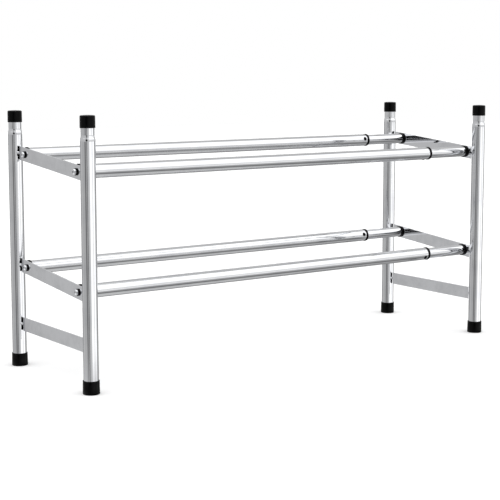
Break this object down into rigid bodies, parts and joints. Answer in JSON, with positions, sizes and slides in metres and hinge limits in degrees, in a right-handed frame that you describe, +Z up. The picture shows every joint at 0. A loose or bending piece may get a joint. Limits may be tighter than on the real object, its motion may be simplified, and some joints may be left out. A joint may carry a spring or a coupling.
{
  "type": "pull out shoe rack",
  "caption": "Stackable chromed tube shoe rack with sloping rail shelves between end frames; one frame slides out on telescoping rails to widen it.",
  "frame": {"origin": "on the floor under the middle of the rack as it stands in the picture", "axes": "+X along the rails towards the frame that slides out, +Y to the back, +Z up"},
  "size_m": [0.7146, 0.2304, 0.36],
  "materials": {
    "chromed_tube": "bright chrome plating on steel tube and flat bar",
    "black_plastic": "satin black moulded plastic",
    "plated_steel": "bright zinc plated steel screw"
  },
  "bodies": {
    "left_half": {"left_rear_upright": "chromed_tube", "left_rear_cap": "black_plastic", "left_rear_foot": "black_plastic", "left_front_upright": "chromed_tube", "left_front_cap": "black_plastic", "left_front_foot": "black_plastic", "left_upper_bar": "chromed_tube", "left_lower_bar": "chromed_tube", "left_stretcher": "chromed_tube", "upper_rear_left_screw": "plated_steel", "upper_rear_left_washer": "black_plastic", "upper_rear_left_plug": "black_plastic", "upper_rear_outer_rail": "chromed_tube", "upper_rear_bush": "black_plastic", "upper_front_left_screw": "plated_steel", "upper_front_left_washer": "black_plastic", "upper_front_left_plug": "black_plastic", "upper_front_outer_rail": "chromed_tube", "upper_front_bush": "black_plastic", "lower_rear_left_screw": "plated_steel", "lower_rear_left_washer": "black_plastic", "lower_rear_left_plug": "black_plastic", "lower_rear_outer_rail": "chromed_tube", "lower_rear_bush": "black_plastic", "lower_front_left_screw": "plated_steel", "lower_front_left_washer": "black_plastic", "lower_front_left_plug": "black_plastic", "lower_front_outer_rail": "chromed_tube", "lower_front_bush": "black_plastic"},
    "right_half": {"right_rear_upright": "chromed_tube", "right_rear_cap": "black_plastic", "right_rear_foot": "black_plastic", "right_front_upright": "chromed_tube", "right_front_cap": "black_plastic", "right_front_foot": "black_plastic", "right_upper_bar": "chromed_tube", "right_lower_bar": "chromed_tube", "right_stretcher": "chromed_tube", "upper_rear_right_screw": "plated_steel", "upper_rear_right_washer": "black_plastic", "upper_rear_right_plug": "black_plastic", "upper_rear_inner_rail": "chromed_tube", "upper_rear_guide": "black_plastic", "upper_front_right_screw": "plated_steel", "upper_front_right_washer": "black_plastic", "upper_front_right_plug": "black_plastic", "upper_front_inner_rail": "chromed_tube", "upper_front_guide": "black_plastic", "lower_rear_right_screw": "plated_steel", "lower_rear_right_washer": "black_plastic", "lower_rear_right_plug": "black_plastic", "lower_rear_inner_rail": "chromed_tube", "lower_rear_guide": "black_plastic", "lower_front_right_screw": "plated_steel", "lower_front_right_washer": "black_plastic", "lower_front_right_plug": "black_plastic", "lower_front_inner_rail": "chromed_tube", "lower_front_guide": "black_plastic"}
  },
  "joints": [
    {"name": "pull_out", "type": "slide", "parent": "left_half", "child": "right_half", "axis": [1, 0, 0], "range_m": [-0.0737, 0.413]}
  ]
}
